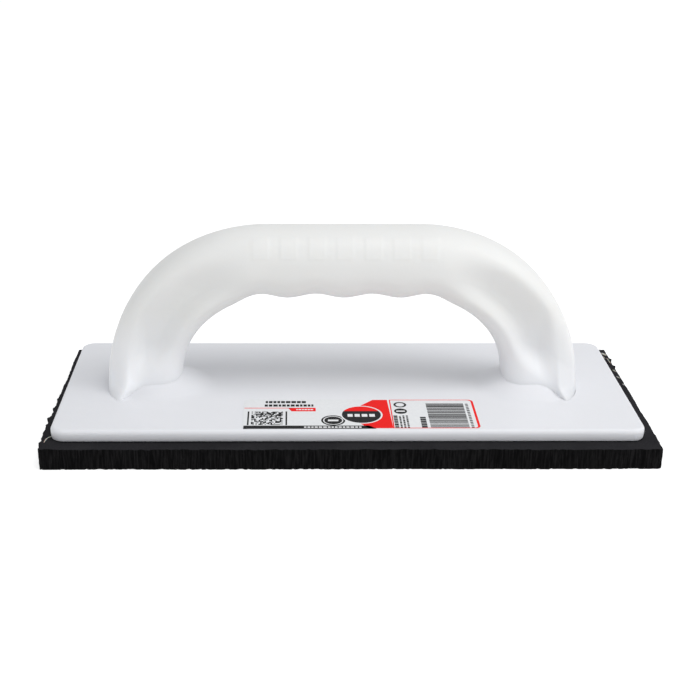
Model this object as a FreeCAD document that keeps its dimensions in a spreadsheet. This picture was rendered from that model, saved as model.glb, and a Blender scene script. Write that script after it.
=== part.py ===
"""Rubber hand float: rubber pad, adhesive, moulded base plate, bow handle, screws and label.

Frame: X runs along the float, Y across it, +Z up.  The origin is the centre of the
rubber pad's working face, so the tool stands on Z = 0.  All lengths are millimetres.
"""
import FreeCAD, Part
import math
import os

import Sketcher

doc = FreeCAD.newDocument("rubber_hand_float")
V = FreeCAD.Vector

# ---------------------------------------------------------------- driving dimensions
DIMENSIONS = {
    # rubber pad
    "pad_length": 280, "pad_width": 120, "pad_thick": 10, "pad_corner": 1,
    # adhesive film between the pad and the plate
    "glue_thick": 0.3, "glue_margin": 2,
    # base plate, glued slightly off the middle of the pad; the bow is also set a little off
    "plate_length": 270, "plate_width": 108, "plate_thick": 5.7,
    "plate_corner": 6.5, "plate_edge": 1.3,
    "plate_shift_x": -1.1, "plate_shift_y": 1.2,
    # raised seats under the handle's feet: an oval foot that narrows to an oval top
    "seat_foot_x": 88.5, "seat_foot_long": 49, "seat_foot_wide": 46,
    "seat_top_x": 93, "seat_top_long": 30, "seat_top_wide": 18, "seat_height": 8,
    # bow handle: straight grip, then a quarter bend down to each foot
    "bow_shift_x": -2.3, "grip_half": 36.7, "bend_height": 19.3,
    "grip_inner": 42.5, "foot_inner": 40.5, "bend_outer": 76,
    "grip_half_width": 17.4, "bend_half_width": 15.6, "foot_half_width": 13.2,
    "scoop_depth": 4.4, "fin_flare": 5.8, "core_wall": 4.5, "core_bend": 0.7,
    "leg_sink": 4, "vent_diameter": 4, "vent_height": 42,
    # finger grooves along the underside of the grip
    "groove_pitch": 26.4, "groove_depth": 1.9,
    # self-tapping screws, two in each foot
    "screw_inner_x": 88, "screw_outer_x": 101, "screw_length": 30,
    "screw_diameter": 4.2, "head_diameter": 8.4, "head_sink": 0.3, "tip_length": 3,
    "clearance_diameter": 4.8, "cross_width": 1.2, "cross_depth": 1.3,
    # printed label on the front of the plate
    "label_length": 108.5, "label_width": 32.4, "label_thick": 0.15, "label_corner": 3,
    "label_x": 4.95, "label_y": -35.2,
}

sheet = doc.addObject("Spreadsheet::Sheet", "dims")
for row, (alias, value) in enumerate(DIMENSIONS.items(), start=1):
    sheet.set(f"A{row}", alias)
    sheet.set(f"B{row}", str(value))
    sheet.setAlias(f"B{row}", alias)
doc.recompute()


def dim(alias):
    """Value of one driving dimension, read back from the sheet."""
    return float(sheet.get(alias))


# Heights of the stack, as expressions on the sheet
PLATE_BOTTOM = "dims.pad_thick + dims.glue_thick"
PLATE_TOP = PLATE_BOTTOM + " + dims.plate_thick"
PLATE_X = "dims.plate_shift_x"
PLATE_Y = "dims.plate_shift_y"
BOW_X = "dims.bow_shift_x"


# ---------------------------------------------------------------- helpers
def bind(obj, **expressions):
    """Bind properties of an object to expressions; double underscores stand for dots."""
    for name, expression in expressions.items():
        obj.setExpression(name.replace("__", "."), expression)
    return obj


def place(obj, x="0", y="0", z="0"):
    """Bind an object's position to expressions."""
    return bind(obj, Placement__Base__x=x, Placement__Base__y=y, Placement__Base__z=z)


def new_body(label):
    body = doc.addObject("PartDesign::Body", label)
    body.Label = label
    return body


def flat_sketch(body, name, height="0"):
    """Empty sketch parallel to the body's XY plane, at a height above it."""
    sketch = body.newObject("Sketcher::SketchObject", name)
    plane = next(f for f in body.Origin.OriginFeatures if f.Role == "XY_Plane")
    sketch.AttachmentSupport = [(plane, "")]
    sketch.MapMode = "FlatFace"
    sketch.setExpression("AttachmentOffset.Base.z", height)
    return sketch


def rectangle(sketch, length, width):
    """Rectangle about the sketch's origin, its sides bound to two expressions."""
    corners = [V(50, 20, 0), V(-50, 20, 0), V(-50, -20, 0), V(50, -20, 0)]
    for index in range(4):
        sketch.addGeometry(Part.LineSegment(corners[index], corners[(index + 1) % 4]))
    for index in range(4):
        sketch.addConstraint(Sketcher.Constraint("Coincident", index, 2, (index + 1) % 4, 1))
        direction = "Vertical" if index % 2 else "Horizontal"
        sketch.addConstraint(Sketcher.Constraint(direction, index))
    sketch.addConstraint(Sketcher.Constraint("Symmetric", 0, 1, 2, 1, -1, 1))
    bound_size(sketch, "long", Sketcher.Constraint("Distance", 0, 100), length)
    bound_size(sketch, "wide", Sketcher.Constraint("Distance", 1, 40), width)
    return sketch


def bound_size(sketch, name, constraint, expression):
    """Add a dimension to a sketch and bind it to an expression."""
    sketch.renameConstraint(sketch.addConstraint(constraint), name)
    sketch.setExpression("Constraints." + name, expression)


def oval(sketch, x, length, width):
    """Ellipse centred on the sketch's X axis, its sizes bound to three expressions."""
    sketch.addGeometry(Part.Ellipse(V(90, 0, 0), 24, 20))
    sketch.exposeInternalGeometry(0)
    major, minor = 1, 2
    sketch.addConstraint(Sketcher.Constraint("Horizontal", major))
    sketch.addConstraint(Sketcher.Constraint("PointOnObject", 0, 3, -1))
    bound_size(sketch, "along", Sketcher.Constraint("DistanceX", -1, 1, 0, 3, 90), x)
    bound_size(sketch, "long", Sketcher.Constraint("Distance", major, 48), length)
    bound_size(sketch, "wide", Sketcher.Constraint("Distance", minor, 40), width)
    return sketch


def pad_up(body, sketch, name, height):
    feature = body.newObject("PartDesign::Pad", name)
    feature.Profile = sketch
    feature.setExpression("Length", height)
    return feature


def edges_of(feature, wanted):
    """Names of a feature's edges that pass a test."""
    edges = enumerate(feature.Shape.Edges, start=1)
    return [f"Edge{index}" for index, edge in edges if wanted(edge)]


def is_upright(edge):
    return edge.BoundBox.ZLength > 0.9 * edge.Length


def round_off(body, name, wanted, radius):
    """Fillet the edges of the body's last feature that pass a test."""
    doc.recompute()
    base = body.Tip
    fillet = body.newObject("PartDesign::Fillet", name)
    fillet.Base = (base, edges_of(base, wanted))
    fillet.setExpression("Radius", radius)
    doc.recompute()


def slab(label, length, width, corner, height):
    """Body that is one rectangle padded upwards, with rounded corners."""
    body = new_body(label)
    sketch = rectangle(flat_sketch(body, label + "_outline"), length, width)
    pad_up(body, sketch, label + "_pad", height)
    round_off(body, label + "_corners", is_upright, corner)
    return body


def primitive(kind, name, **expressions):
    """Part primitive with its sizes bound to expressions."""
    return bind(doc.addObject("Part::" + kind, name), **expressions)


def fuse(name, shapes):
    result = doc.addObject("Part::MultiFuse", name)
    result.Shapes = shapes
    return result


def cut(name, base, tool):
    result = doc.addObject("Part::Cut", name)
    result.Base = base
    result.Tool = tool
    return result


# ---------------------------------------------------------------- rubber pad
rubber_pad = slab("rubber_pad", "dims.pad_length", "dims.pad_width", "dims.pad_corner",
                  "dims.pad_thick")

# ---------------------------------------------------------------- adhesive film
contact_adhesive = slab("contact_adhesive",
                        "dims.plate_length - 2 * dims.glue_margin",
                        "dims.plate_width - 2 * dims.glue_margin",
                        "dims.plate_corner - dims.glue_margin",
                        "dims.glue_thick")
place(contact_adhesive, PLATE_X, PLATE_Y, "dims.pad_thick")

# ---------------------------------------------------------------- base plate
plate_moulding = slab("plate_moulding", "dims.plate_length", "dims.plate_width",
                      "dims.plate_corner", "dims.plate_thick")
place(plate_moulding, PLATE_X, PLATE_Y, PLATE_BOTTOM)
round_off(plate_moulding, "rounded_rim",
          lambda edge: edge.BoundBox.ZMin > dim("plate_thick") - 0.01, "dims.plate_edge")

seat_foot = oval(flat_sketch(plate_moulding, "seat_foot", "dims.plate_thick - 0.5"),
                 "dims.seat_foot_x", "dims.seat_foot_long", "dims.seat_foot_wide")
seat_top = oval(flat_sketch(plate_moulding, "seat_top", "dims.plate_thick + dims.seat_height"),
                "dims.seat_top_x", "dims.seat_top_long", "dims.seat_top_wide")
right_seat = plate_moulding.newObject("PartDesign::AdditiveLoft", "right_seat")
right_seat.Profile = seat_foot
right_seat.Sections = [seat_top]
right_seat.Ruled = True
doc.recompute()

both_seats = plate_moulding.newObject("PartDesign::Mirrored", "both_seats")
both_seats.Originals = [right_seat]
mirror_plane = next(f for f in plate_moulding.Origin.OriginFeatures if f.Role == "YZ_Plane")
both_seats.MirrorPlane = (mirror_plane, [""])
plate_moulding.Tip = both_seats
doc.recompute()


# ---------------------------------------------------------------- screws and their holes
def screw_spots():
    """Expressions for the four screw axes: two in each foot, on the handle's centre plane."""
    for side in (-1, 1):
        for distance in ("dims.screw_inner_x", "dims.screw_outer_x"):
            yield f"{BOW_X} + {side} * {distance}"


HEAD_HEIGHT = "(dims.head_diameter - dims.screw_diameter) / 2"
HEAD_Z = PLATE_BOTTOM + " + dims.head_sink"
SHANK_Z = f"{HEAD_Z} + {HEAD_HEIGHT}"
TIP_Z = f"{HEAD_Z} + dims.screw_length - dims.tip_length"


def make_screw(number, x):
    """Countersunk self-tapping screw, head down, with a cross recess."""
    head = primitive("Cone", f"screw_{number}_head", Radius1="dims.head_diameter / 2",
                     Radius2="dims.screw_diameter / 2", Height=HEAD_HEIGHT)
    shank = primitive("Cylinder", f"screw_{number}_shank", Radius="dims.screw_diameter / 2",
                      Height=f"({TIP_Z}) - ({SHANK_Z})")
    tip = primitive("Cone", f"screw_{number}_tip", Radius1="dims.screw_diameter / 2",
                    Radius2="dims.screw_diameter / 10", Height="dims.tip_length")
    for piece, height in ((head, HEAD_Z), (shank, SHANK_Z), (tip, TIP_Z)):
        place(piece, x, PLATE_Y, height)
    bars = []
    for name, along, across in (("long", "dims.head_diameter / 2", "dims.cross_width"),
                                ("wide", "dims.cross_width", "dims.head_diameter / 2")):
        bar = primitive("Box", f"screw_{number}_cross_{name}", Length=along, Width=across,
                        Height="2 * dims.cross_depth")
        place(bar, f"{x} - ({along}) / 2", f"{PLATE_Y} - ({across}) / 2",
              f"{HEAD_Z} - dims.cross_depth")
        bars.append(bar)
    blank = fuse(f"screw_{number}_blank", [head, shank, tip])
    return cut(f"screw_{number}", blank, fuse(f"screw_{number}_cross", bars))


def make_plate_hole(number, x):
    """Clearance hole with a countersink from the plate's underside."""
    mouth = primitive("Cylinder", f"hole_{number}_mouth", Radius="dims.head_diameter / 2",
                      Height="1 + dims.head_sink")
    place(mouth, x, PLATE_Y, f"{PLATE_BOTTOM} - 1")
    sink = primitive("Cone", f"hole_{number}_sink", Radius1="dims.head_diameter / 2",
                     Radius2="dims.screw_diameter / 2", Height=HEAD_HEIGHT)
    place(sink, x, PLATE_Y, HEAD_Z)
    bore = primitive("Cylinder", f"hole_{number}_bore", Radius="dims.clearance_diameter / 2",
                     Height="dims.plate_thick + dims.seat_height + 1")
    place(bore, x, PLATE_Y, PLATE_BOTTOM)
    return fuse(f"hole_{number}", [mouth, sink, bore])


def make_pilot(number, x):
    """Blind hole in the handle's foot that the screw cuts its thread in."""
    pilot = primitive("Cylinder", f"pilot_{number}", Radius="dims.screw_diameter / 2",
                      Height="dims.screw_length + 1")
    return place(pilot, x, PLATE_Y, HEAD_Z)


spots = list(enumerate(screw_spots(), start=1))
screws = [make_screw(number, x) for number, x in spots]
handle_screws = doc.addObject("Part::Compound", "handle_screws")
handle_screws.Links = screws

base_plate = cut("base_plate", plate_moulding,
                 fuse("plate_holes", [make_plate_hole(number, x) for number, x in spots]))

# ---------------------------------------------------------------- bow handle
SECTION_POINTS = 32
GRIP_STATIONS = 6
BEND_STATIONS = 12
QUARTER_TURN = math.pi / 2


def ease(value, start, end):
    """Smooth step from 0 at start to 1 at end."""
    share = min(max((value - start) / (end - start), 0), 1)
    return share * share * (3 - 2 * share)


def half_width(across, bend):
    """Half of the bow's width in Y.

    across runs from -1 at the inside of the bow to 1 at its outside.
    bend runs from 0 at the grip to 1 at the foot.
    """
    width = dim("grip_half_width")
    width += (dim("bend_half_width") - dim("grip_half_width")) * ease(bend, 0, 0.5)
    width += (dim("foot_half_width") - dim("bend_half_width")) * ease(bend, 0.5, 1)
    scoop = ease(bend, 0.08, 0.42) * (1 - 0.75 * ease(bend, 0.62, 0.95))
    reach = max(1 - ((across - 0.12) / 0.72) ** 2, 0) ** 2
    fin = dim("fin_flare") * ease(bend, 0.45, 1) * ease(across, 0.2, 0.5)
    return width - dim("scoop_depth") * scoop * reach + fin


def inner_radius(bend):
    """Distance from the bend's centre to the inside of the bow."""
    return dim("grip_inner") + (dim("foot_inner") - dim("grip_inner")) * bend


def groove_lift(x):
    """How far the finger grooves raise the underside at a distance x from the middle."""
    if abs(x) > 2 * dim("groove_pitch"):
        return 0
    return dim("groove_depth") * (1 - math.cos(2 * math.pi * x / dim("groove_pitch"))) / 2


def section(x, bend, inset=0):
    """Closed spline across the bow.

    x is the station on the grip or, past its end, where the grip ends; a negative x is the
    left half.  inset shrinks the spline by a wall thickness.
    """
    angle = math.copysign(bend * QUARTER_TURN, x)
    radial = V(math.sin(angle), 0, math.cos(angle))
    centre = V(x, 0, dim("bend_height"))
    inner = inner_radius(bend)
    middle = (inner + dim("bend_outer")) / 2
    half_depth = (dim("bend_outer") - inner) / 2 - inset
    lift = groove_lift(x + radial.x * inner)
    power = 2 / (2.4 + 0.8 * bend)
    points = []
    for index in range(SECTION_POINTS):
        turn = 2 * math.pi * index / SECTION_POINTS
        across = math.copysign(abs(math.cos(turn)) ** power, math.cos(turn))
        sideways = math.copysign(abs(math.sin(turn)) ** power, math.sin(turn))
        out = middle + across * half_depth + lift * ease(-across, 0, 0.8)
        points.append(centre + radial * out + V(0, sideways * (half_width(across, bend) - inset), 0))
    spline = Part.BSplineCurve()
    spline.interpolate(points, PeriodicFlag=True)
    return Part.Wire(spline.toShape())


def bow(bend_limit, inset=0, leg=0):
    """Solid bow from foot to foot: grip, two bends and, where asked, straight legs."""
    half = dim("grip_half")
    grip = [section(half * (index / GRIP_STATIONS - 1), 0, inset)
            for index in range(2 * GRIP_STATIONS + 1)]
    pieces = [Part.makeLoft(grip, True, False)]
    for end in (-half, half):
        bend = [section(end, bend_limit * index / BEND_STATIONS, inset)
                for index in range(BEND_STATIONS + 1)]
        pieces.append(Part.makeLoft(bend, True, False))
        if leg:
            pieces.append(Part.Face(bend[-1]).extrude(V(0, 0, -leg)))
    return pieces[0].fuse(pieces[1:])


# The legs run down into the plate's space and are cut to its top and its raised seats
leg_length = (dim("bend_height") - dim("pad_thick") - dim("glue_thick") - dim("plate_thick")
              + dim("leg_sink"))
bow_blank = doc.addObject("Part::Feature", "bow_blank")
bow_blank.Shape = bow(1, leg=leg_length)
place(bow_blank, BOW_X, PLATE_Y)

# The grip is gas-blown, so it is hollow between two solid feet
bow_core = doc.addObject("Part::Feature", "bow_core")
bow_core.Shape = bow(dim("core_bend"), inset=dim("core_wall"))
place(bow_core, BOW_X, PLATE_Y)

# Gas enters and leaves through a bore in the right foot
vent = primitive("Cylinder", "vent", Radius="dims.vent_diameter / 2", Height="dims.vent_height")
place(vent, f"{BOW_X} + (dims.screw_inner_x + dims.screw_outer_x) / 2", PLATE_Y, PLATE_BOTTOM)

pilots = [make_pilot(number, x) for number, x in spots]
handle = cut("handle", bow_blank,
             fuse("handle_tools", [plate_moulding, bow_core, vent] + pilots))

# ---------------------------------------------------------------- label
label = slab("label", "dims.label_length", "dims.label_width", "dims.label_corner",
             "dims.label_thick")
place(label, "dims.label_x", "dims.label_y", PLATE_TOP)

# ---------------------------------------------------------------- checks and files
doc.recompute()
for item in doc.Objects:
    if "Invalid" in item.State or "Error" in item.State:
        raise RuntimeError(f"{item.Label} did not recompute: {item.State}")

NODES = {rubber_pad: 1, contact_adhesive: 1, base_plate: 1, handle: 1, handle_screws: 4, label: 1}
os.makedirs("parts", exist_ok=True)
for node, solids in NODES.items():
    shape = node.Shape
    if shape.isNull() or not shape.isValid() or len(shape.Solids) != solids:
        raise RuntimeError(f"{node.Label} is not {solids} valid solid(s): {len(shape.Solids)}")
    shape.exportStep(f"parts/{node.Label}.step")
    box = shape.optimalBoundingBox()
    print(f"{node.Label}: {len(shape.Solids)} solid(s), {shape.Volume / 1000:.1f} cm3, "
          f"X {box.XMin:.1f}..{box.XMax:.1f} Y {box.YMin:.1f}..{box.YMax:.1f} "
          f"Z {box.ZMin:.1f}..{box.ZMax:.1f}")
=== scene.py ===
"""Looks of a rubber hand float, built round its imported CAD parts.

A black cellular rubber pad, a white moulded plate with two raised seats, a white bow handle with
finger grooves and thumb scoops, and a printed film label with a generic layout. +X runs along the
float, the label is on the -Y side and +Z is up. Shapes are worked out in millimetres and turned
into metres when a mesh is made.
"""
import math

import bpy
import numpy as np
from mathutils import Matrix, Vector


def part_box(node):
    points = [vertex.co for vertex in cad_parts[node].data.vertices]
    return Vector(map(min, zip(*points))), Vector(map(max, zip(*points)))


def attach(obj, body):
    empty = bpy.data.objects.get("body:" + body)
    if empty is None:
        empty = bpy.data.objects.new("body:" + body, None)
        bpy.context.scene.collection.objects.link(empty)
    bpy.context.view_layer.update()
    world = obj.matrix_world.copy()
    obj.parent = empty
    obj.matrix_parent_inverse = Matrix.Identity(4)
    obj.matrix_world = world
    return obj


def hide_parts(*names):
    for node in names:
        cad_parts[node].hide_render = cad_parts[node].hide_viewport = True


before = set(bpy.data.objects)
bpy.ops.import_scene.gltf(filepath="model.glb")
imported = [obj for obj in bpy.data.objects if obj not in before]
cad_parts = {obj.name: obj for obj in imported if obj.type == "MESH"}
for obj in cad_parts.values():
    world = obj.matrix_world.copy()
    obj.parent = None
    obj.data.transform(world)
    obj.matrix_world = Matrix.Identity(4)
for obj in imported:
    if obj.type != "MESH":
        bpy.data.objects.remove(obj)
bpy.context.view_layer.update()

MM = 0.001
HALVINGS = 30  # steps of a search by halving, enough for a millionth of a millimetre


# ---------------------------------------------------------------- places from the CAD frame

def box(node):
    """Lowest and highest corner of a CAD node in millimetres."""
    low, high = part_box(node)
    return np.array(low) / MM, np.array(high) / MM


PAD_LOW, PAD_HIGH = box("rubber_pad")
PLATE_LOW, PLATE_HIGH = box("base_plate")
HANDLE_LOW, HANDLE_HIGH = box("handle")
LABEL_LOW, LABEL_HIGH = box("label")
PAD_MID = (PAD_LOW + PAD_HIGH) / 2
PAD_HALF = (PAD_HIGH - PAD_LOW) / 2
PLATE_MID = (PLATE_LOW + PLATE_HIGH) / 2
PLATE_HALF = (PLATE_HIGH - PLATE_LOW) / 2
PLATE_TOP = LABEL_LOW[2]

# Outlines and curves, the same as the CAD part's
PAD_CORNER = 1.0
PLATE_CORNER = 6.5
SEAT_FOOT_X, SEAT_FOOT_LONG, SEAT_FOOT_WIDE = 88.5, 49.0, 46.0
SEAT_TOP_X, SEAT_TOP_LONG, SEAT_TOP_WIDE = 93.0, 30.0, 18.0
SEAT_SUNK = 0.5
SEAT_RISE = PLATE_HIGH[2] - PLATE_TOP
GRIP_HALF = 36.7
GRIP_INNER, FOOT_INNER, BEND_OUTER = 42.5, 40.5, 76.0
GROOVE_PITCH, GROOVE_DEPTH = 26.4, 1.9
BOW_X = (HANDLE_LOW[0] + HANDLE_HIGH[0]) / 2
BOW_Y = (HANDLE_LOW[1] + HANDLE_HIGH[1]) / 2
BEND_HEIGHT = HANDLE_HIGH[2] - BEND_OUTER


# ---------------------------------------------------------------- small shape helpers

def ease(value, start, end):
    """0 before start, 1 after end, and a smooth climb between."""
    share = np.clip((value - start) / (end - start), 0, 1)
    return share * share * (3 - 2 * share)


def wander(along, period, seed):
    """Smooth random heights from -1 to 1 along one coordinate, one every period."""
    heights = np.random.default_rng(seed).uniform(-1, 1, 1024)
    cell = np.floor(along / period).astype(int)
    share = ease(along / period - cell, 0, 1)
    return heights[cell % 1024] * (1 - share) + heights[(cell + 1) % 1024] * share


def grain(u, v, period_u, period_v, seed):
    """Smooth random heights from -1 to 1 over two coordinates."""
    heights = np.random.default_rng(seed).uniform(-1, 1, (256, 256))
    cell_u = np.floor(u / period_u).astype(int)
    cell_v = np.floor(v / period_v).astype(int)
    share_u = ease(u / period_u - cell_u, 0, 1)
    share_v = ease(v / period_v - cell_v, 0, 1)
    near = heights[cell_u % 256, cell_v % 256] * (1 - share_u)
    near = near + heights[(cell_u + 1) % 256, cell_v % 256] * share_u
    far = heights[cell_u % 256, (cell_v + 1) % 256] * (1 - share_u)
    far = far + heights[(cell_u + 1) % 256, (cell_v + 1) % 256] * share_u
    return near * (1 - share_v) + far * share_v


def make_piece(name, points, faces, material, sharp=180):
    """A mesh piece from points in millimetres, riding on the float's one body. Edges that turn by
    more than sharp degrees are not smoothed over."""
    mesh = bpy.data.meshes.new(name)
    mesh.from_pydata((np.asarray(points) * MM).tolist(), [], faces)
    mesh.shade_smooth()
    mesh.set_sharp_from_angle(angle=math.radians(sharp))
    mesh.materials.append(material)
    mesh.update()
    piece = bpy.data.objects.new(name, mesh)
    bpy.context.scene.collection.objects.link(piece)
    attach(piece, "root")
    return piece


def joined(bits):
    """The points and faces of several closed bits as one mesh."""
    points, faces, start = [], [], 0
    for bit_points, bit_faces in bits:
        points.append(bit_points)
        faces += [[start + number for number in face] for face in bit_faces]
        start += len(bit_points)
    return np.concatenate(points), faces


# ---------------------------------------------------------------- slabs with rounded corners

def rounded_grid(half_x, half_y, radius, columns, rows):
    """Points (rows + 1, columns + 1, 2) that fill a rounded rectangle.

    A square grid whose corner squares are turned into quarter discs."""
    along_x = np.linspace(-half_x, half_x, columns + 1)
    along_y = np.linspace(-half_y, half_y, rows + 1)
    x, y = np.meshgrid(along_x, along_y)
    over_x = np.clip((abs(x) - half_x + radius) / radius, 0, 1)
    over_y = np.clip((abs(y) - half_y + radius) / radius, 0, 1)
    reach_x = np.minimum(abs(x), half_x - radius) + radius * over_x * np.sqrt(1 - over_y**2 / 2)
    reach_y = np.minimum(abs(y), half_y - radius) + radius * over_y * np.sqrt(1 - over_x**2 / 2)
    return np.stack([np.sign(x) * reach_x, np.sign(y) * reach_y], -1)


def border_of(grid):
    """The grid's outer points in order, anticlockwise from above."""
    return np.concatenate([grid[0, :-1], grid[:-1, -1], grid[-1, :0:-1], grid[:0:-1, 0]])


def outward(loop):
    """Unit normals in the plane, pointing out of an anticlockwise loop."""
    along = np.roll(loop, -1, 0) - np.roll(loop, 1, 0)
    normal = np.stack([along[:, 1], -along[:, 0]], -1)
    return normal / np.maximum(np.linalg.norm(normal, axis=1, keepdims=True), 1e-9)


def grid_faces(index, flip):
    """Quads of a grid of point numbers."""
    quads = np.stack([index[:-1, :-1], index[:-1, 1:], index[1:, 1:], index[1:, :-1]], -1)
    quads = quads.reshape(-1, 4)
    return (quads[:, ::-1] if flip else quads).tolist()


def band_faces(upper, lower):
    """Quads between two closed loops of point numbers of the same count, facing outwards."""
    return np.stack([upper, lower, np.roll(lower, -1), np.roll(upper, -1)], -1).tolist()


def halving_faces(coarse, fine, flip):
    """Five-sided faces between a closed loop and one with twice its points."""
    onward = np.roll(coarse, -1)
    faces = np.stack([coarse, fine[0::2], fine[1::2], np.roll(fine, -2)[0::2], onward], -1)
    return (faces[:, ::-1] if flip else faces).tolist()


SLAB_LEAST_CORNER = 0.05


def slab(half, corner, step, profile, cap_inset, finer=1):
    """A closed slab: a grid on top, one loop of points per profile level, and a grid below.

    profile lists (inset, height) from top to bottom. finer is 2 where the side loops have twice
    the points of the two grids. Returns the points, the faces, and the point numbers of the top
    grid, the loops and the bottom grid."""
    columns, rows = (int(round(2 * side / step)) for side in half[:2])

    def inset_grid(inset, squares):
        radius = max(corner - inset, SLAB_LEAST_CORNER)
        return rounded_grid(half[0] - inset, half[1] - inset, radius, columns * squares, rows * squares)

    def at_height(flat, height):
        return np.column_stack([flat, np.full(len(flat), height)])

    caps = inset_grid(cap_inset, 1)
    flat = caps.reshape(-1, 2)
    count = len(flat)
    parts = [at_height(flat, profile[0][1])]
    parts += [at_height(border_of(inset_grid(inset, finer)), height) for inset, height in profile]
    parts += [at_height(flat, profile[-1][1])]
    around = len(parts[1])
    top = np.arange(count).reshape(caps.shape[:2])
    rings = count + np.arange(len(profile) * around).reshape(len(profile), around)
    bottom = count + len(profile) * around + top
    faces = grid_faces(top, False) + grid_faces(bottom, True)
    for upper, lower in zip(rings[:-1], rings[1:]):
        faces += band_faces(upper, lower)
    top_border, bottom_border = border_of(top), border_of(bottom)
    if finer == 2:
        faces += halving_faces(top_border, rings[0], False)
        faces += halving_faces(bottom_border, rings[-1], True)
    else:
        faces += band_faces(top_border, rings[0])
        faces += band_faces(rings[-1], bottom_border)
    return np.concatenate(parts), faces, top, rings, bottom


# ---------------------------------------------------------------- the rubber pad

PAD_STEP = 1.0
PAD_CAP_INSET = 1.3
PAD_SHARP = 38
SIDE_NIBS = [  # (side, place along Y, reach, width) of rubber left standing by the knife
    (-1, -26.1, 1.5, 1.6), (-1, -14.7, 0.8, 1.4), (-1, -41.8, 0.7, 1.8), (-1, -52.6, 0.5, 1.6),
    (-1, -34.0, 0.6, 1.2), (-1, -4.0, 0.7, 1.1), (1, 46.5, 1.4, 1.7), (1, 36.6, 1.2, 1.3),
]
PAD_WORN_EDGE = [(0.36, 0.0), (0.13, 0.04), (0.02, 0.16)]  # (inset, down) from the top
PEEL_AT, PEEL_HEIGHT, PEEL_WIDTH = np.array([-136.5, -55.0]), 1.1, 3.6
TORN_LOW, TORN_HIGH = 2.2, 1.6  # how far up and down the side the torn edges reach
PLATE_COVER, COVER_SOFT = 4.0, 3.0  # how far inside the plate's edge the pad lies flat


def pad_profile():
    """(inset, height) of the pad's cut side, from its worn top edge to its working face."""
    low, high = PAD_LOW[2], PAD_HIGH[2]
    top = [(inset, high - down) for inset, down in PAD_WORN_EDGE]
    side = [(0.0, height) for height in np.linspace(high - 0.8, low + 0.9, 12)]
    return top + side + [(0.0, low + 0.4), (0.0, low)]


def way_around(loops):
    """How far along the pad's outline each point of a side loop lies."""
    return np.arange(loops.shape[1]) * PAD_STEP / 2


def cut_marks(loops):
    """How far the knife and the torn cells move each side point outwards.

    Each wander or grain is an amplitude in millimetres times noise with its period and seed. The
    left side is cut more raggedly than the others and stands out a little near its front."""
    around = way_around(loops)
    x, y, z = loops[0, :, 0], loops[0, :, 1], loops[:, :, 2]
    height = z / PAD_HIGH[2]
    strokes = 0.07 * wander(around, 0.7, 3) + 0.06 * wander(around, 2.3, 4)
    strokes = strokes[None] * (0.5 + 0.5 * wander(around[None] * 0.4 + z * 0.7, 3.1, 5))
    wave = 0.16 * wander(around, 17, 6) + 0.06 * wander(around, 6, 7)
    torn = 0.1 * grain(around[None] + 0 * z, z, 0.8, 1.1, 8)
    marks = strokes + wave[None] + torn - 0.12
    ragged = 0.3 * wander(around, 2.4, 9) + 0.34 * abs(wander(around, 1.3, 10))
    ragged *= ease(-y, -25, 30)
    ragged += 0.45 * ease(-y, 18, 36) * ease(y, -58, -54)
    on_left = x < PAD_LOW[0] + 0.5
    marks += np.where(on_left, ragged, 0)[None] * (0.35 + 0.65 * height)
    for side, place, reach, width in SIDE_NIBS:
        on_side = side * x > PAD_HALF[0] - 0.5
        tooth = np.where(on_side, np.clip(1 - abs(y - place) / width, 0, 1) ** 1.2, 0)
        marks += reach * tooth[None] * ease(height, 0.45, 0.9)
    return marks


def edge_lift(loops):
    """How far the torn lower and upper edges stand off their planes."""
    around = way_around(loops)
    z = loops[:, :, 2]
    notch = np.clip(wander(around, 1.25, 12) - 0.3, 0, 1) * 0.6
    notch += np.clip(wander(around, 4.7, 13) - 0.82, 0, 1) * 2.2
    lower = np.clip(1 - z / TORN_LOW, 0, 1) * notch[None]
    swell = 0.16 * wander(around, 1.7, 14) + 0.12 * wander(around, 7, 15)
    upper = ease(z, PAD_HIGH[2] - TORN_HIGH, PAD_HIGH[2]) * swell[None]
    return lower + upper


def surface_waves(points):
    """Unevenness of the sheet's skins, with the lip that glue pulled up at one corner."""
    x, y = points[:, 0], points[:, 1]
    waves = 0.1 * grain(x, y, 9, 9, 16) + 0.05 * grain(x, y, 2.2, 2.2, 17) - 0.08
    apart = np.hypot(x - PEEL_AT[0], (y - PEEL_AT[1]) * 0.8)
    return waves + PEEL_HEIGHT * np.exp(-((apart / PEEL_WIDTH) ** 2))


def build_pad(material):
    profile = pad_profile()
    points, faces, top, rings, bottom = slab(
        PAD_HALF, PAD_CORNER, PAD_STEP, profile, PAD_CAP_INSET, finer=2
    )
    points[:, :2] += PAD_MID[:2]
    loops = points[rings]
    moved = loops.copy()
    normals = outward(loops[len(PAD_WORN_EDGE) + 1, :, :2])
    moved[:, :, :2] += cut_marks(loops)[:, :, None] * normals[None]
    moved[:, :, 2] += edge_lift(loops)
    points[rings] = moved
    skin = top.ravel()
    within = PLATE_HALF[:2] - PLATE_COVER - abs(points[skin, :2] - PLATE_MID[:2])
    covered = ease(within[:, 0], 0, COVER_SOFT) * ease(within[:, 1], 0, COVER_SOFT)
    points[skin, 2] += surface_waves(points[skin]) * (1 - covered) - 0.02 * covered
    for ring in rings[:len(PAD_WORN_EDGE) + 1]:
        near_top = ease(points[ring, 2], PAD_HIGH[2] - 3, PAD_HIGH[2])
        points[ring, 2] += surface_waves(points[ring]) * near_top
    face = bottom.ravel()
    points[face, 2] += 0.12 + 0.1 * grain(points[face, 0], points[face, 1], 3.1, 3.1, 18)
    piece = make_piece("rubber_sheet", points, faces, material, sharp=PAD_SHARP)
    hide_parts("rubber_pad")
    return piece


# ---------------------------------------------------------------- the plate with its seats

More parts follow.
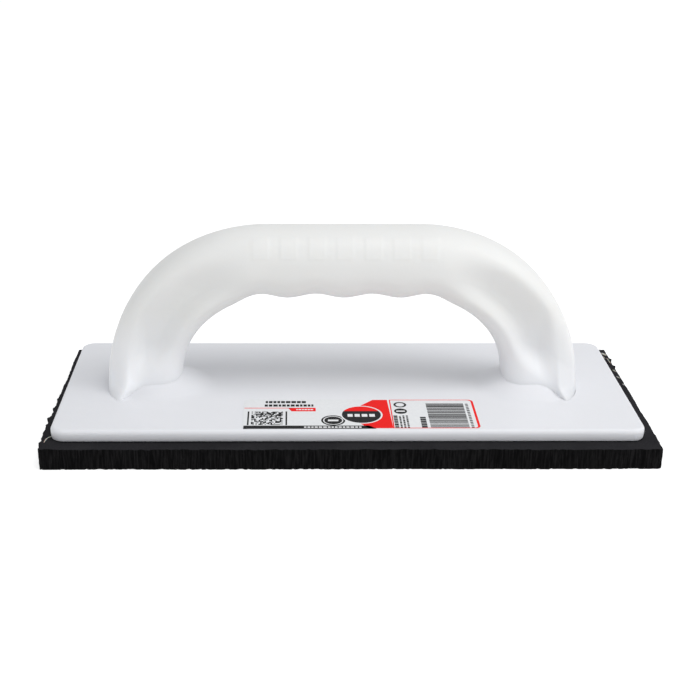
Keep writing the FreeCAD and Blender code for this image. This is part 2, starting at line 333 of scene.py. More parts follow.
PLATE_STEP = 1.0
PLATE_CAP_INSET = 2.0
PLATE_EDGE_ACROSS, PLATE_EDGE_DOWN, PLATE_DRAFT = 1.5, 2.1, 0.25
PLATE_FOOT = [(0.08, 0.2), (0.22, 0.06), (0.42, 0.0)]  # (inset, height) of the small lower round
PLATE_SAG, PLATE_SAG_PERIOD = 0.03, 24
SEAT_FILLET = 0.9


def seat_rise(x, y):
    """Height of the moulded seats above the plate's flat top: a leaning oval cone with a soft foot."""
    x, y = abs(x - PLATE_MID[0]), y - PLATE_MID[1]
    low, high = np.full(x.shape, -0.6), np.ones(x.shape)
    for _ in range(HALVINGS):
        share = (low + high) / 2
        middle = SEAT_FOOT_X + (SEAT_TOP_X - SEAT_FOOT_X) * share
        along = (x - middle) * 2 / (SEAT_FOOT_LONG + (SEAT_TOP_LONG - SEAT_FOOT_LONG) * share)
        across = y * 2 / (SEAT_FOOT_WIDE + (SEAT_TOP_WIDE - SEAT_FOOT_WIDE) * share)
        inside = along**2 + across**2 < 1
        low, high = np.where(inside, share, low), np.where(inside, high, share)
    rise = low * (SEAT_RISE + SEAT_SUNK) - SEAT_SUNK
    return SEAT_FILLET * np.log1p(np.exp(rise / SEAT_FILLET)) * ease(rise, -5.6, -3)


def plate_profile():
    """(inset, height) down the plate's edge: a soft upper round, a face and a small lower round."""
    turns = np.linspace(0, math.pi / 2, 13)
    upper = [
        (PLATE_EDGE_ACROSS * (1 - math.sin(turn)), PLATE_TOP - PLATE_EDGE_DOWN * (1 - math.cos(turn)))
        for turn in turns
    ]
    heights = np.linspace(PLATE_TOP - PLATE_EDGE_DOWN, PLATE_LOW[2] + 0.5, 5)[1:]
    face = [(PLATE_DRAFT * (place / 4) ** 2, height) for place, height in enumerate(heights, 1)]
    return upper + face + [(PLATE_DRAFT + inset, PLATE_LOW[2] + height) for inset, height in PLATE_FOOT]


def build_plate(material):
    points, faces, top, _, _ = slab(
        PLATE_HALF, PLATE_CORNER, PLATE_STEP, plate_profile(), PLATE_CAP_INSET
    )
    points[:, :2] += PLATE_MID[:2]
    cap = top.ravel()
    x, y = points[cap, 0], points[cap, 1]
    points[cap, 2] += seat_rise(x, y)
    points[cap, 2] += PLATE_SAG * grain(x, y, PLATE_SAG_PERIOD, PLATE_SAG_PERIOD, 21)
    piece = make_piece("float_plate", points, faces, material)
    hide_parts("base_plate")
    return piece


# ---------------------------------------------------------------- the bow handle

TURNS = 224  # points round the section
GRIP_ROWS, BEND_ROWS = 147, 150
LEG_STEP = 60.0  # millimetres of straight leg for each whole step of q past the bend
FOOT_FILLET, FILLET_TURNS = 0.25, np.radians([72, 54, 36, 18])
FOOT_RINGS = (0.85, 0.65, 0.45, 0.25, 0.1)  # shares of the foot's outline that close it below
GRIP_SQUARENESS, OUTER_SQUARENESS, INNER_SQUARENESS = 2.4, 4.0, 3.0
RELIEF_COUNT, RELIEF_PITCH, RELIEF_WIDTH, RELIEF_TALL = 7, 13.0, 9.6, 13.0
RELIEF_HEIGHT, RELIEF_TURN, RELIEF_SLOPE, RELIEF_CORNER = 0.17, math.radians(-52), 1.6, 1.5
RELIEF_LINE = 0.92  # the pads' row lies at this share of the bow's outer radius

# Half widths of the section, and the stretches of the bend where one passes into the next
GRIP_HALF_WIDTH, BEND_HALF_WIDTH, LEG_HALF_WIDTH = 17.4, 15.6, 11.2
GRIP_TO_BEND, BEND_TO_LEG = (0.0, 0.45), (0.4, 0.84)
# The fold is the soft step under the scoop; it lies lower on the outside of the bow
FOLD_AT, FOLD_SLANT, FOLD_SOFT = 0.87, 0.16, 0.1
FOOT_FLARE, FLARE_LEAD, FLARE_CURVE = 3.2, 0.08, 1.5
# The thumb scoop: where it opens along the bend and across the section
SCOOP_DEPTH, SCOOP_OPENS = 5.2, (0.08, 0.42)
SCOOP_INNER_EDGE, SCOOP_OUTER_EDGE, SCOOP_OUTER_CURVE = (-0.68, -0.14), (-0.1, 0.76), 0.8
SCOOP_BY_FIN = (-0.4, 9.0)
# The upright fin at the foot's outer corner, which leans outwards near the plate
FIN_ROOT_X, FIN_INNER_X, FIN_FLARE, FIN_TALL = 90.0, 102.3, 6.0, 30.0
FIN_TOE_X, FIN_TOE_TALL, FIN_TIP, FIN_TIP_TALL = 3.2, 6.0, 0.35, 5.0
FIN_BACK, FIN_BACK_STRETCH = 0.6, (0.6, 7.0)


def half_width(across, bend, apart, height):
    """Half of the section's width, with the thumb scoop, the flared foot and the fin beside it.

    across is -1 inside the bow and 1 outside, bend 0 on the grip and 1 at the foot; apart is the
    distance from the bow's middle plane and height is above the plate's top."""
    width = GRIP_HALF_WIDTH + (BEND_HALF_WIDTH - GRIP_HALF_WIDTH) * ease(bend, *GRIP_TO_BEND)
    width = width + (LEG_HALF_WIDTH - BEND_HALF_WIDTH) * ease(bend, *BEND_TO_LEG)
    fold = FOLD_AT + FOLD_SLANT * across
    flare_from = fold - FLARE_LEAD
    flare = FOOT_FLARE * np.clip((bend - flare_from) / (1 - flare_from), 0, 1) ** FLARE_CURVE
    scoop = ease(bend, *SCOOP_OPENS) * (1 - ease(bend, fold - FOLD_SOFT, fold + FOLD_SOFT))
    dish = (1 - ease(across, *SCOOP_OUTER_EDGE)) ** SCOOP_OUTER_CURVE
    dish = ease(across, *SCOOP_INNER_EDGE) * dish * ease(FIN_INNER_X - apart, *SCOOP_BY_FIN)
    return width - SCOOP_DEPTH * scoop * dish + flare + fin_width(apart, height)


def fin_width(apart, height):
    """How far the fin at the foot's outer corner stands out of the section."""
    edge = FIN_INNER_X + FIN_TOE_X * np.clip(1 - height / FIN_TOE_TALL, 0, 1) ** 1.5
    rise = np.clip((apart - FIN_ROOT_X) / (edge - FIN_ROOT_X), 0, 1) ** 3
    taper = np.clip(1 - height / FIN_TALL, 0, 1) ** 2.2
    taper = taper + FIN_TIP * np.clip(1 - height / FIN_TIP_TALL, 0, 1) ** 2
    start, end = FIN_BACK_STRETCH
    return FIN_FLARE * taper * rise * (1 - FIN_BACK * ease(apart, edge + start, edge + end))


def groove_lift(x):
    """How far the finger grooves lift the grip's underside."""
    wave = GROOVE_DEPTH * (1 - np.cos(2 * math.pi * x / GROOVE_PITCH)) / 2
    return np.where(abs(x) > 2 * GROOVE_PITCH, 0, wave)


def relief(along, turn):
    """Height of a plain row of raised pads on the grip's upper front."""
    last = RELIEF_COUNT // 2
    nearest = np.clip(np.round(along / RELIEF_PITCH), -last, last)
    beside = abs(along - nearest * RELIEF_PITCH) - RELIEF_WIDTH / 2 + RELIEF_CORNER
    above = abs(turn - RELIEF_TURN) * GRIP_HALF_WIDTH - RELIEF_TALL / 2 + RELIEF_CORNER
    outside = np.hypot(np.maximum(beside, 0), np.maximum(above, 0))
    edge = np.where(outside < 1e-6, np.maximum(beside, above), outside) - RELIEF_CORNER
    return RELIEF_HEIGHT * (1 - ease(edge, -RELIEF_SLOPE, 0))


def bow(x, q, turn, inset=0.0):
    """Points of the bow.

    x is the place along the straight grip, whose sign picks the bend; q is 0 on the grip, 1 at the
    bend's end and more down the straight leg; turn is the angle round the section."""
    bend = np.clip(q, 0, 1)
    drop = np.maximum(q - 1, 0) * LEG_STEP
    angle = np.copysign(bend * math.pi / 2, x)
    inner = GRIP_INNER + (FOOT_INNER - GRIP_INNER) * bend
    cos, sin = np.cos(turn), np.sin(turn)
    outer_square = (OUTER_SQUARENESS - GRIP_SQUARENESS) * ease(bend, 0.1, 0.6)
    inner_square = (INNER_SQUARENESS - GRIP_SQUARENESS) * ease(bend, 0.1, 0.4)
    squareness = GRIP_SQUARENESS + np.where(cos > 0, outer_square, inner_square)
    reach = (abs(cos) ** squareness + abs(sin) ** squareness) ** (-1 / squareness)
    across, sideways = cos * reach, sin * reach
    half_depth = (BEND_OUTER - inner) / 2 - inset
    lift = groove_lift(x + np.sin(angle) * inner)
    raised = relief(x + angle * BEND_OUTER * RELIEF_LINE, turn)
    out = (inner + BEND_OUTER) / 2 + across * half_depth
    out = out + lift * ease(-across, 0, 0.8) + raised * cos
    z = BEND_HEIGHT + np.cos(angle) * out - drop
    apart = abs(x + np.sin(angle) * (out + across * inset))
    y = sideways * (half_width(across, bend, apart, z - PLATE_TOP) - inset) + raised * sin
    return np.stack([BOW_X + x + np.sin(angle) * out, BOW_Y + y, z], -1)


def leg_end(x, turn):
    """For each column, where the leg meets the plate's moulding."""
    low, high = np.full(turn.shape, 0.5), np.full(turn.shape, 1.4)
    for _ in range(HALVINGS):
        middle = (low + high) / 2
        points = bow(x, middle, turn)
        clear = points[:, 2] > PLATE_TOP + seat_rise(points[:, 0], points[:, 1]) - 0.05
        low, high = np.where(clear, middle, low), np.where(clear, high, middle)
    return low


def leg_rows(x, turn):
    """Rows of points from the grip's end down to the foot, which flares softly onto the seat."""
    end = leg_end(x, turn)
    speed = np.where(end < 1, math.pi / 2 * (BEND_OUTER + GRIP_INNER) / 2, LEG_STEP)
    body = end - FOOT_FILLET / speed
    rows = [bow(x, body * share, turn) for share in np.linspace(0, 1, BEND_ROWS + 1)[1:]]
    wall = bow(x, end, turn)
    ground = seat_rise(wall[:, 0], wall[:, 1])
    for angle in FILLET_TURNS:
        sunk = end - FOOT_FILLET * (1 - math.cos(angle)) / speed
        row = bow(x, sunk, turn, -FOOT_FILLET * (1 - math.sin(angle)))
        row[:, 2] += seat_rise(row[:, 0], row[:, 1]) - ground
        rows.append(row)
    edge = bow(x, end, turn, -FOOT_FILLET)
    edge[:, 2] = PLATE_TOP + seat_rise(edge[:, 0], edge[:, 1]) - 0.03
    return rows + [edge]


def foot_rows(edge):
    """Rings that close the foot and follow the seat under it."""
    middle = edge.mean(0)
    rings = []
    for share in FOOT_RINGS:
        ring = middle + (edge - middle) * share
        ring[:, 2] = PLATE_TOP + seat_rise(ring[:, 0], ring[:, 1]) - 0.05
        rings.append(ring)
    return rings


def build_handle(material):
    turn = np.linspace(-math.pi, math.pi, TURNS, endpoint=False)
    left, right = leg_rows(-GRIP_HALF, turn), leg_rows(GRIP_HALF, turn)
    straight = np.linspace(-GRIP_HALF, GRIP_HALF, GRIP_ROWS)
    grip = [bow(x, np.zeros(TURNS), turn) for x in straight]
    left += foot_rows(left[-1])
    right += foot_rows(right[-1])
    rows = left[::-1] + grip + right
    points = np.concatenate(rows)
    index = np.arange(len(points)).reshape(len(rows), TURNS)
    faces = []
    for upper, lower in zip(index[:-1], index[1:]):
        faces += band_faces(upper, lower)
    faces += [index[0].tolist(), index[-1].tolist()[::-1]]
    piece = make_piece("bow_handle", points, faces, material)
    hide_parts("handle")
    return piece


# ---------------------------------------------------------------- the label's print

FILM_TOP = LABEL_HIGH[2]
PRINT_SUNK, PRINT_LAYER = 0.02, 0.012
PRINT_SHARP = 20


def outline_prism(shape, layer):
    """A thin closed prism of ink from an anticlockwise outline, in the label's own millimetres."""
    count = len(shape)
    flat = np.asarray(shape, float) + LABEL_LOW[:2]
    low = np.column_stack([flat, np.full(count, FILM_TOP - PRINT_SUNK)])
    high = np.column_stack([flat, np.full(count, FILM_TOP + PRINT_LAYER * layer)])
    index = np.arange(count)
    faces = [index[::-1].tolist(), (index + count).tolist()]
    faces += band_faces(index + count, index)
    return np.concatenate([low, high]), faces


def ring_prism(outer, inner, layer):
    """A thin closed ring of ink between two anticlockwise outlines with the same count."""
    count = len(outer)
    loops = [np.asarray(loop, float) + LABEL_LOW[:2] for loop in (outer, inner)]
    heights = FILM_TOP - PRINT_SUNK, FILM_TOP + PRINT_LAYER * layer
    points = np.concatenate(
        [np.column_stack([loop, np.full(count, z)]) for loop in loops for z in heights]
    )
    outer_low, outer_high, inner_low, inner_high = np.arange(4 * count).reshape(4, count)
    faces = band_faces(outer_high, outer_low) + band_faces(inner_high, outer_high)
    faces += band_faces(inner_low, inner_high) + band_faces(outer_low, inner_low)
    return points, faces


def rectangle(left, front, right, back):
    return [(left, front), (right, front), (right, back), (left, back)]


def disc(x, y, radius, start=0.0, end=360.0, points=40):
    turns = np.radians(np.linspace(start, end, points, endpoint=end - start < 360))
    return np.stack([x + radius * np.cos(turns), y + radius * np.sin(turns)], -1)


def dashes(left, right, front, back, seed, upright=False, dash=(0.9, 2.2), gap=0.45):
    """Short bars in a row or column, in place of a line of print."""
    rng = np.random.default_rng(seed)
    start, end = (front, back) if upright else (left, right)
    shapes = []
    while start < end - dash[0]:
        stop = min(start + rng.uniform(*dash), end)
        if upright:
            shapes.append(rectangle(left, start, right, stop))
        else:
            shapes.append(rectangle(start, front, stop, back))
        start = stop + gap
    return shapes


def dot_matrix(left, front, module, count, seed, share=0.58):
    """A random square pattern of dots that stands for no code, its runs joined into bars."""
    filled = np.random.default_rng(seed).random((count, count)) < share
    shapes = []
    for row in range(count):
        column = 0
        while column < count:
            run = 0
            while column + run < count and filled[row, column + run]:
                run += 1
            if run:
                x, y = left + column * module, front + row * module
                shapes.append(rectangle(x, y, x + run * module, y + module * 0.96))
            column += run + 1
    return shapes


def line_code(left, right, front, back, seed):
    """Bars of random thickness across the label's right end."""
    rng = np.random.default_rng(seed)
    shapes = []
    while front < back:
        thick = rng.choice([0.45, 0.7, 1.0, 1.4])
        shapes.append(rectangle(left, front, right, min(front + thick, back)))
        front += thick + rng.choice([0.3, 0.42, 0.6])
    return shapes


def rounded_frame(left, front, right, back, radius, inset_right, inset):
    """The outer and inner outline of a frame with rounded right corners and a thicker right side."""
    def loop(x0, y0, x1, y1, r):
        low = disc(x1 - r, y0 + r, r, -90, 0, 9)
        high = disc(x1 - r, y1 - r, r, 0, 90, 9)
        return np.concatenate([[(x0, y0)], low, high, [(x0, y1)]])
    outer = loop(left, front, right, back, radius)
    inner = loop(left + inset, front + inset, right - inset_right, back - inset, radius - inset)
    return outer, inner


def print_shapes():
    """The label's generic layout, as prisms by ink.

    Places are in millimetres from the label's front left corner; the label is about 108 by 32."""
    long, wide = (LABEL_HIGH - LABEL_LOW)[:2]
    prints = {"black": [], "red": [], "white": []}

    def add(ink_name, layer, *shapes):
        prints[ink_name].extend(outline_prism(shape, layer) for shape in shapes)

    def add_ring(ink_name, layer, outer, inner):
        prints[ink_name].append(ring_prism(outer, inner, layer))

    # front left: a strip with a row of print, and a square pattern between two bars
    add("black", 1, [(0.6, 0.05), (60.8, 0.05), (57.6, 3.4), (0.6, 3.4)])
    add("white", 2, *dashes(28.0, 54.0, 1.1, 2.4, 30, dash=(0.9, 1.7), gap=0.5))
    add("black", 1, *dot_matrix(3.9, 4.1, 0.69, 21, 31))
    add("black", 1, *(rectangle(x, 3.9, x + 0.75, 18.8) for x in (2.1, 19.6)))
    # rear left: two lines of print over a rule with a flag
    add("black", 1, *dashes(10.2, 30.0, 28.1, 30.5, 32))
    add("black", 1, *dashes(9.8, 33.2, 24.2, 26.6, 33))
    add("red", 1, rectangle(0.4, 22.2, 22.4, 22.8))
    add("red", 1, [(22.4, 18.9), (33.6, 18.9), (33.6, 22.8), (20.6, 22.8)])
    add("white", 2, *dashes(24.6, 32.4, 20.2, 21.4, 34, dash=(0.7, 1.4), gap=0.3))
    # a small round badge
    small = 41.4, 8.9
    add("black", 1, disc(*small, 5.5))
    add_ring("white", 2, disc(*small, 4.6), disc(*small, 4.1))
    add("white", 2, rectangle(39.0, 8.0, 43.8, 9.8))
    # the middle panel with a large round badge
    panel_left, panel_right, back = 57.2, 68.4, wide - 0.6
    wedge_front = [(46.4, 16.0), (panel_left, 0.6), (panel_right, 0.6)]
    add("red", 1, wedge_front + [(panel_right - 0.9, back), (panel_left + 3.4, back)])
    large = 54.6, 15.2
    add("white", 2, disc(*large, 9.8))
    add("black", 3, disc(*large, 9.0))
    add("red", 4, disc(*large, 9.0, 25, 155, 24))
    add("white", 4, *dashes(48.2, 61.4, 12.8, 15.8, 35, dash=(2.2, 2.6), gap=0.9))
    # the right field in a frame: two marks, small print and a code of lines
    add_ring("red", 1, *rounded_frame(panel_right, 0.5, long - 0.5, wide - 0.5, 2.4, 1.1, 0.55))
    add_ring("black", 1, disc(73.2, 26.2, 3.0), disc(73.2, 26.2, 2.0))
    add("black", 1, disc(73.0, 19.0, 3.0))
    add("white", 2, rectangle(71.0, 18.3, 75.0, 19.6))
    columns = [(69.3, 71.1), (71.8, 72.7), (73.4, 74.3), (75.0, 75.9)]
    for seed, (left, right) in enumerate(columns, 36):
        add("black", 1, *dashes(left, right, 0.9, 14.2, seed, True, (0.6, 1.9), 0.4))
    add("black", 1, *dashes(81.4, 84.0, 1.2, 14.2, 41, True, (1.3, 1.8), 0.35))
    add("black", 1, *line_code(85.4, 103.0, 1.2, 27.8, 42))
    add("black", 1, *dashes(103.9, 105.2, 1.2, 28.4, 43, True, (0.8, 1.2), 0.8))
    return prints


def build_print(inks):
    for ink_name, prisms in print_shapes().items():
        points, faces = joined(prisms)
        make_piece("label_print_" + ink_name, points, faces, inks[ink_name], PRINT_SHARP)


# ---------------------------------------------------------------- dried glue that squeezed out

GLUE_STREAKS = [  # (x, y, angle in degrees, length, width) of bits on the pad's right rear margin
    (138.3, 52.6, -60, 5.0, 1.5), (138.7, 43.6, -88, 7.5, 0.55), (138.6, 30.0, -55, 2.8, 0.8),
    (138.4, 21.8, -60, 2.4, 0.7), (138.9, 12.6, -70, 1.5, 0.5), (137.2, 48.4, -80, 4.0, 0.4),
]
GLUE_STRING = [  # points of the string that hangs over the front left margin
    (-134.6, -48.4, 11.0), (-136.4, -49.2, 11.2), (-137.7, -51.4, 11.0), (-138.0, -54.4, 10.6),
    (-137.9, -57.6, 10.1),
]
GLUE_STRING_RADIUS = 0.24
STREAK_LIFT, STREAK_THICK = 0.05, 0.22


def streak(x, y, angle, length, width, seed):
    """A closed, flattened and uneven bit of glue lying on the pad."""
    around, levels = 20, 9
    turns = np.linspace(0, 2 * math.pi, around, endpoint=False)
    rng = np.random.default_rng(seed)
    uneven = 1 + 0.3 * rng.uniform(-1, 1, around)
    along = np.array([math.cos(math.radians(angle)), math.sin(math.radians(angle))])
    side = np.array([-along[1], along[0]])
    rows = []
    for climb in np.linspace(-math.pi / 2, math.pi / 2, levels)[1:-1]:
        reach = math.cos(climb) ** 0.6 * uneven
        flat = np.outer(np.cos(turns) * reach * length / 2, along)
        flat = flat + np.outer(np.sin(turns) * reach * width / 2, side)
        height = PAD_HIGH[2] + STREAK_LIFT + STREAK_THICK * math.sin(climb)
        rows.append(np.column_stack([flat + [x, y], np.full(around, height)]))
    index = np.arange(len(rows) * around).reshape(len(rows), around)
    faces = [index[0].tolist()[::-1], index[-1].tolist()]
    for lower, upper in zip(index[:-1], index[1:]):
        faces += band_faces(upper, lower)
    return np.concatenate(rows), faces


def tube(path, radius, around=10, roundings=3):
    """A closed uneven string along a path whose corners are cut off several times."""
    path = np.array(path)
    for _ in range(roundings):
        cut = np.empty((2 * len(path) - 2, 3))
        cut[0::2] = 0.75 * path[:-1] + 0.25 * path[1:]
        cut[1::2] = 0.25 * path[:-1] + 0.75 * path[1:]
        path = np.concatenate([path[:1], cut, path[-1:]])
    onward = np.gradient(path, axis=0)
    onward /= np.linalg.norm(onward, axis=1, keepdims=True)
    side = np.cross(onward, [0, 0, 1])
    side /= np.linalg.norm(side, axis=1, keepdims=True)
    up = np.cross(side, onward)
    turns = np.linspace(0, 2 * math.pi, around, endpoint=False)
    share = np.linspace(0, 1, len(path))
    thick = radius * (0.55 + 0.45 * np.sin(math.pi * share)) * (1 + 0.25 * wander(share, 0.12, 51))
    rows = [
        place + t * (np.outer(np.cos(turns), s) + np.outer(np.sin(turns), u))
        for place, s, u, t in zip(path, side, up, thick)
    ]
    index = np.arange(len(rows) * around).reshape(len(rows), around)
    faces = [index[0].tolist(), index[-1].tolist()[::-1]]
    for lower, upper in zip(index[:-1], index[1:]):
        faces += band_faces(lower, upper)
    return np.concatenate(rows), faces


def build_glue(material):
    bits = [streak(*place, seed=60 + number) for number, place in enumerate(GLUE_STREAKS)]
    points, faces = joined(bits + [tube(GLUE_STRING, GLUE_STRING_RADIUS)])
    make_piece("glue_residue", points, faces, material)


# ---------------------------------------------------------------- materials

# Where the handle's plastic turns to a lighter colour near the plate, painted light on its lower legs
# and feet, in metres up from the floor, and where that colour is darker beside the right fin, painted
# shade, in metres along X
FOOT_PAINTED_LIGHT_ABOVE, FOOT_PAINTED_LIGHT_BELOW = 0.058, 0.022
FIN_PAINTED_SHADE_START, FIN_PAINTED_SHADE_END, FIN_PAINTED_SHADE_FACTOR = 0.0975, 0.102, 0.885
SUBSURFACE_RADII = (1.0, 0.9, 0.8)


class Nodes:
    """A new node material with short calls for the nodes that the finishes share."""

    def __init__(self, name, roughness, **sockets):
        self.material = bpy.data.materials.new(name)
        self.material.use_nodes = True
        self.tree = self.material.node_tree
        self.shader = self.tree.nodes["Principled BSDF"]
        self.place = self.tree.nodes.new("ShaderNodeTexCoord").outputs["Object"]
        self.shader.inputs["Roughness"].default_value = roughness
        for socket, value in sockets.items():
            self.shader.inputs[socket.replace("_", " ")].default_value = value

    def join(self, source, target):
        self.tree.links.new(source, target)

    def stretched(self, x, y, z):
        """Object coordinates stretched along the axes."""
        mapping = self.tree.nodes.new("ShaderNodeMapping")
        mapping.inputs["Scale"].default_value = (x, y, z)
        self.join(self.place, mapping.inputs["Vector"])
        return mapping.outputs["Vector"]

    def noise(self, scale, detail=3.0, roughness=0.5, at=None):
        noise = self.tree.nodes.new("ShaderNodeTexNoise")
        noise.inputs["Scale"].default_value = scale
        noise.inputs["Detail"].default_value = detail
        noise.inputs["Roughness"].default_value = roughness
        self.join(at or self.place, noise.inputs["Vector"])
        return noise.outputs["Fac"]

    def cells(self, scale):
        cells = self.tree.nodes.new("ShaderNodeTexVoronoi")
        cells.inputs["Scale"].default_value = scale
        self.join(self.place, cells.inputs["Vector"])
        return cells.outputs["Distance"]

    def along(self, axis):
        """The object coordinate along an axis, in metres."""
        parts = self.tree.nodes.new("ShaderNodeSeparateXYZ")
        self.join(self.place, parts.inputs["Vector"])
        return parts.outputs[axis]

    def flatness(self):
        """1 where the surface lies flat, facing up or down, and 0 where it stands."""
        geometry = self.tree.nodes.new("ShaderNodeNewGeometry")
        parts = self.tree.nodes.new("ShaderNodeSeparateXYZ")
        size = self.tree.nodes.new("ShaderNodeMath")
        size.operation = "ABSOLUTE"
        self.join(geometry.outputs["Normal"], parts.inputs["Vector"])
        self.join(parts.outputs["Z"], size.inputs[0])
        return size.outputs["Value"]

    def spread(self, value, low, high, to_low=0.0, to_high=1.0):
        """A value between low and high spread to another range."""
        spread = self.tree.nodes.new("ShaderNodeMapRange")
        limits = {"From Min": low, "From Max": high, "To Min": to_low, "To Max": to_high}
        for socket, number in limits.items():
            spread.inputs[socket].default_value = number
        self.join(value, spread.inputs["Value"])
        return spread.outputs["Result"]

    def mix(self, share, first, second):
        """A colour between two colours, each a value or a socket."""
        mix = self.tree.nodes.new("ShaderNodeMix")
        mix.data_type = "RGBA"
        self.join(share, mix.inputs["Factor"])
        for socket, colour in (("A", first), ("B", second)):
            target = next(i for i in mix.inputs if i.name == socket and i.type == "RGBA")
            if isinstance(colour, tuple):
                target.default_value = (*colour, 1)
            else:
                self.join(colour, target)
        return next(o for o in mix.outputs if o.type == "RGBA")

    def bump(self, height, strength, distance, normal=None):
        bump = self.tree.nodes.new("ShaderNodeBump")
        bump.inputs["Strength"].default_value = strength
        bump.inputs["Distance"].default_value = distance
        self.join(height, bump.inputs["Height"])
        if normal:
            self.join(normal, bump.inputs["Normal"])
        return bump.outputs["Normal"]

    def finish(self, colour, normal=None, roughness=None):
        self.join(colour, self.shader.inputs["Base Color"])
        if normal:
            self.join(normal, self.shader.inputs["Normal"])
        if roughness:
            self.join(roughness, self.shader.inputs["Roughness"])
        return self.material


def rubber():
    """Black cellular rubber: fine open pores darkened with painted shade, faint upright knife marks and
    grey dust.
    """
    n = Nodes("pad_rubber", 0.85, Specular_IOR_Level=0.04)
    pores = n.cells(1500)
    strokes = n.noise(1500, 2, at=n.stretched(1, 1, 0.07))
    cloud = n.noise(60, 4)
    skin = n.mix(n.spread(cloud, 0.3, 0.7), (0.0175, 0.017, 0.0195), (0.0255, 0.025, 0.0275))
    cut = n.mix(n.spread(strokes, 0.42, 0.7), (0.0022, 0.0021, 0.0023), (0.011, 0.0105, 0.011))
    colour = n.mix(n.spread(n.flatness(), 0.6, 0.9), cut, skin)
    # Painted shade: the rubber is darkened towards black at the pore centres, where shade falls inside
    # the open cells
    colour = n.mix(n.spread(pores, 0.0, 0.25, 0.7, 0), colour, (0.0015, 0.0015, 0.0016))
    normal = n.bump(n.spread(pores, 0, 0.4), 0.6, 0.0003)
    normal = n.bump(strokes, 0.35, 0.0003, normal)
    return n.finish(colour, normal, n.spread(cloud, 0.2, 0.8, 0.75, 0.95))


def moulded(name, light, dark, tint, roughness, scatter, foot_painted_light=None):
    """Moulded polyethylene: a satin skin with cloudy shade, soft flow marks and light in its depth.

    The last argument is the lighter colour it turns to near the plate, painted light on the lower legs
    and feet, and it is a little darker at the right fin as painted shade."""
    n = Nodes(name, roughness, Subsurface_Weight=scatter, Subsurface_Scale=0.004, Specular_IOR_Level=0.4)
    n.shader.inputs["Subsurface Radius"].default_value = SUBSURFACE_RADII
    cloud = n.noise(22, 4, 0.55)
    flow = n.noise(9, 3, at=n.stretched(0.35, 1.6, 1))
    speck = n.noise(900, 2)
    colour = n.mix(n.spread(cloud, 0.3, 0.7), light, dark)
    colour = n.mix(n.spread(flow, 0.35, 0.75, 0, 0.5), colour, tint)
    # Painted light: the lower legs and feet turn to a lighter colour towards the plate
    if foot_painted_light:
        low = n.spread(n.along("Z"), FOOT_PAINTED_LIGHT_ABOVE, FOOT_PAINTED_LIGHT_BELOW)
        # Painted shade: beside the right fin the lighter colour near the plate is darkened, by place
        # along X
        fin_painted_shade_mask = n.spread(n.along("X"), FIN_PAINTED_SHADE_START, FIN_PAINTED_SHADE_END)
        base = n.mix(fin_painted_shade_mask, foot_painted_light, tuple(FIN_PAINTED_SHADE_FACTOR * part for part in foot_painted_light))
        colour = n.mix(low, colour, base)
    normal = n.bump(speck, 0.12, 0.00015)
    normal = n.bump(n.noise(55, 3), 0.16, 0.0008, normal)
    worn = n.spread(n.noise(70, 3), 0.3, 0.7, roughness - 0.05, roughness + 0.08)
    return n.finish(colour, normal, worn)


def ink(name, light, dark, roughness=0.32):
    """Print under a clear film: an even colour with a faint speckle and slow waves in the gloss."""
    n = Nodes(name, roughness, Specular_IOR_Level=0.06)
    colour = n.mix(n.spread(n.noise(700, 2), 0.35, 0.65), light, dark)
    return n.finish(colour, n.bump(n.noise(60, 2), 0.1, 0.0004))


def dried_glue():
    """Whitish contact adhesive with yellower thick spots and a rough skin."""
    n = Nodes("adhesive", 0.55, Subsurface_Weight=0.2, Subsurface_Scale=0.001)
    colour = n.mix(n.spread(n.noise(300, 4), 0.3, 0.7), (0.5, 0.48, 0.43), (0.3, 0.28, 0.24))
    return n.finish(colour, n.bump(n.noise(900, 3), 0.5, 0.0003))


def zinc():
    """Zinc-plated steel with a mottled bright skin and fine turning marks."""
    n = Nodes("screw_steel", 0.3, Metallic=1.0)
    colour = n.mix(n.spread(n.noise(500, 4), 0.3, 0.7), (0.62, 0.62, 0.64), (0.45, 0.46, 0.49))
    marks = n.noise(2500, 2, at=n.stretched(0.2, 0.2, 1))
    worn = n.spread(n.noise(200), 0.3, 0.7, 0.22, 0.4)
    return n.finish(colour, n.bump(marks, 0.2, 0.0001), worn)


def floor_finish():
    """A pale matt studio floor, lit from within like a light table and barely uneven."""
    n = Nodes("studio_floor", 0.9, Specular_IOR_Level=0.1)
    colour = n.mix(n.noise(3, 2), (0.5, 0.5, 0.5), (0.53, 0.53, 0.53))
    n.shader.inputs["Emission Color"].default_value = (1, 1, 1, 1)
    n.shader.inputs["Emission Strength"].default_value = FLOOR_GLOW
    return n.finish(colour)


def dress(node, material):
    """Gives a CAD node that stays visible its finish."""
    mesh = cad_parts[node].data
    mesh.materials.clear()
    mesh.materials.append(material)


# ---------------------------------------------------------------- floor, light and camera

FLOOR_HALF, FLOOR_DROP, FLOOR_GLOW = 9.0, 0.0001, 0.7
SKY_COLOUR, SKY_STRENGTH = (0.97, 0.985, 1.0, 1), 0.62
PANEL_AIM = (0, 0, 0.03)
# The camera's place in metres, its turns in degrees (yaw to the right, pitch down, roll), its lens
# in millimetres on a sensor 36 mm wide, and its sideways shift
CAMERA_AT = (-0.02686, -0.57552, 0.26524)
CAMERA_YAW, CAMERA_PITCH, CAMERA_ROLL = 0.867, 21.91, 0.32
CAMERA_LENS, CAMERA_SENSOR, CAMERA_SHIFT = 66.15, 36, 0.0575


def build_floor():
    corners = [(x * FLOOR_HALF, y * FLOOR_HALF) for x, y in ((-1, -1), (1, -1), (1, 1), (-1, 1))]
    mesh = bpy.data.meshes.new("studio_floor")
    mesh.from_pydata([(x, y, -FLOOR_DROP) for x, y in corners], [], [(0, 1, 2, 3)])
    mesh.materials.append(floor_finish())
    floor = bpy.data.objects.new("studio_floor", mesh)
    bpy.context.scene.collection.objects.link(floor)


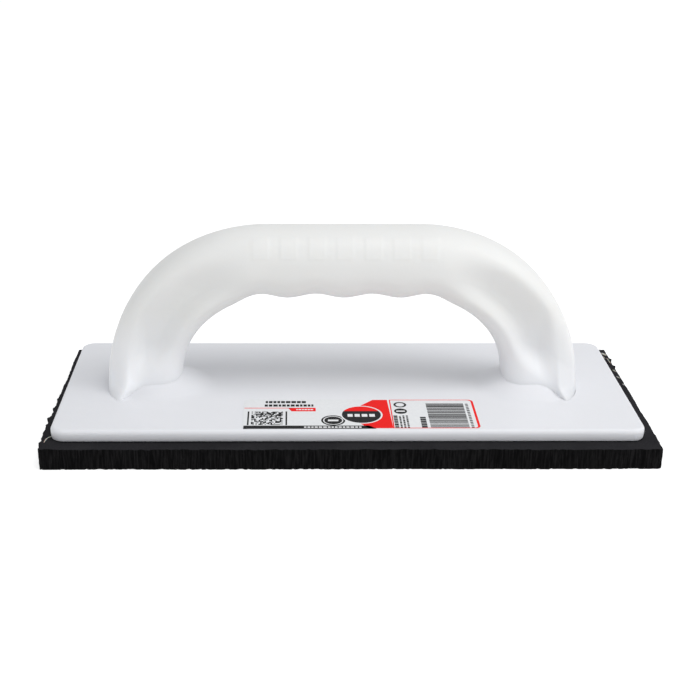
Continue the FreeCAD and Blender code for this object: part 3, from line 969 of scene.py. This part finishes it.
def add_panel(name, power, size, place):
    """A soft square light panel near the float, facing its middle."""
    light = bpy.data.lights.new(name, "AREA")
    light.energy, light.size = power, size
    panel = bpy.data.objects.new(name, light)
    away = Vector(place) - Vector(PANEL_AIM)
    facing = away.to_track_quat("Z", "Y").to_matrix().to_4x4()
    panel.matrix_world = Matrix.Translation(place) @ facing
    bpy.context.scene.collection.objects.link(panel)


def add_world():
    """An even pale sky, as inside a light tent."""
    world = bpy.data.worlds.new("studio")
    world.use_nodes = True
    background = world.node_tree.nodes["Background"]
    background.inputs["Color"].default_value = SKY_COLOUR
    background.inputs["Strength"].default_value = SKY_STRENGTH
    bpy.context.scene.world = world


def add_camera():
    """The camera, turned by its yaw, pitch and roll."""
    yaw, pitch, roll = (math.radians(turn) for turn in (CAMERA_YAW, CAMERA_PITCH, CAMERA_ROLL))
    ahead = np.array([
        math.sin(yaw) * math.cos(pitch), math.cos(yaw) * math.cos(pitch), -math.sin(pitch)
    ])
    level = np.array([math.cos(yaw), -math.sin(yaw), 0])
    above = np.cross(level, ahead)
    right = math.cos(roll) * level + math.sin(roll) * above
    upward = math.cos(roll) * above - math.sin(roll) * level
    data = bpy.data.cameras.new("camera")
    data.sensor_width, data.lens, data.shift_x = CAMERA_SENSOR, CAMERA_LENS, CAMERA_SHIFT
    camera = bpy.data.objects.new("camera", data)
    axes = Matrix(np.stack([right, upward, -ahead], 1).tolist()).to_4x4()
    camera.matrix_world = Matrix.Translation(CAMERA_AT) @ axes
    bpy.context.scene.collection.objects.link(camera)
    bpy.context.scene.camera = camera


# ---------------------------------------------------------------- the whole scene

bpy.context.scene.view_settings.view_transform = "Standard"
add_camera()
add_world()
add_panel("key", power=5.0, size=0.6, place=(0.9, -0.28, 0.93))
add_panel("overhead", power=1.5, size=0.35, place=(0.1, -0.2, 0.75))
build_floor()
build_pad(rubber())
build_plate(moulded(
    "plate_plastic", light=(0.765, 0.77, 0.8), dark=(0.74, 0.745, 0.775),
    tint=(0.755, 0.76, 0.785), roughness=0.42, scatter=0.08,
))
# The handle's last colour is painted light on its lower legs and feet
build_handle(moulded(
    "handle_plastic", light=(0.77, 0.77, 0.76), dark=(0.74, 0.74, 0.725),
    tint=(0.76, 0.755, 0.74), roughness=0.5, scatter=0.2, foot_painted_light=(0.87, 0.876, 0.9),
))
build_print({
    "black": ink("print_black", (0.009, 0.009, 0.0095), (0.015, 0.015, 0.016)),
    "red": ink("print_red", (0.84, 0.004, 0.003), (0.79, 0.006, 0.004)),
    "white": ink("print_white", (0.78, 0.78, 0.79), (0.75, 0.75, 0.76)),
})
glue = dried_glue()
build_glue(glue)
dress("contact_adhesive", glue)
dress("handle_screws", zinc())
dress("label", ink("label_film", (0.76, 0.77, 0.78), (0.73, 0.74, 0.755), 0.3))
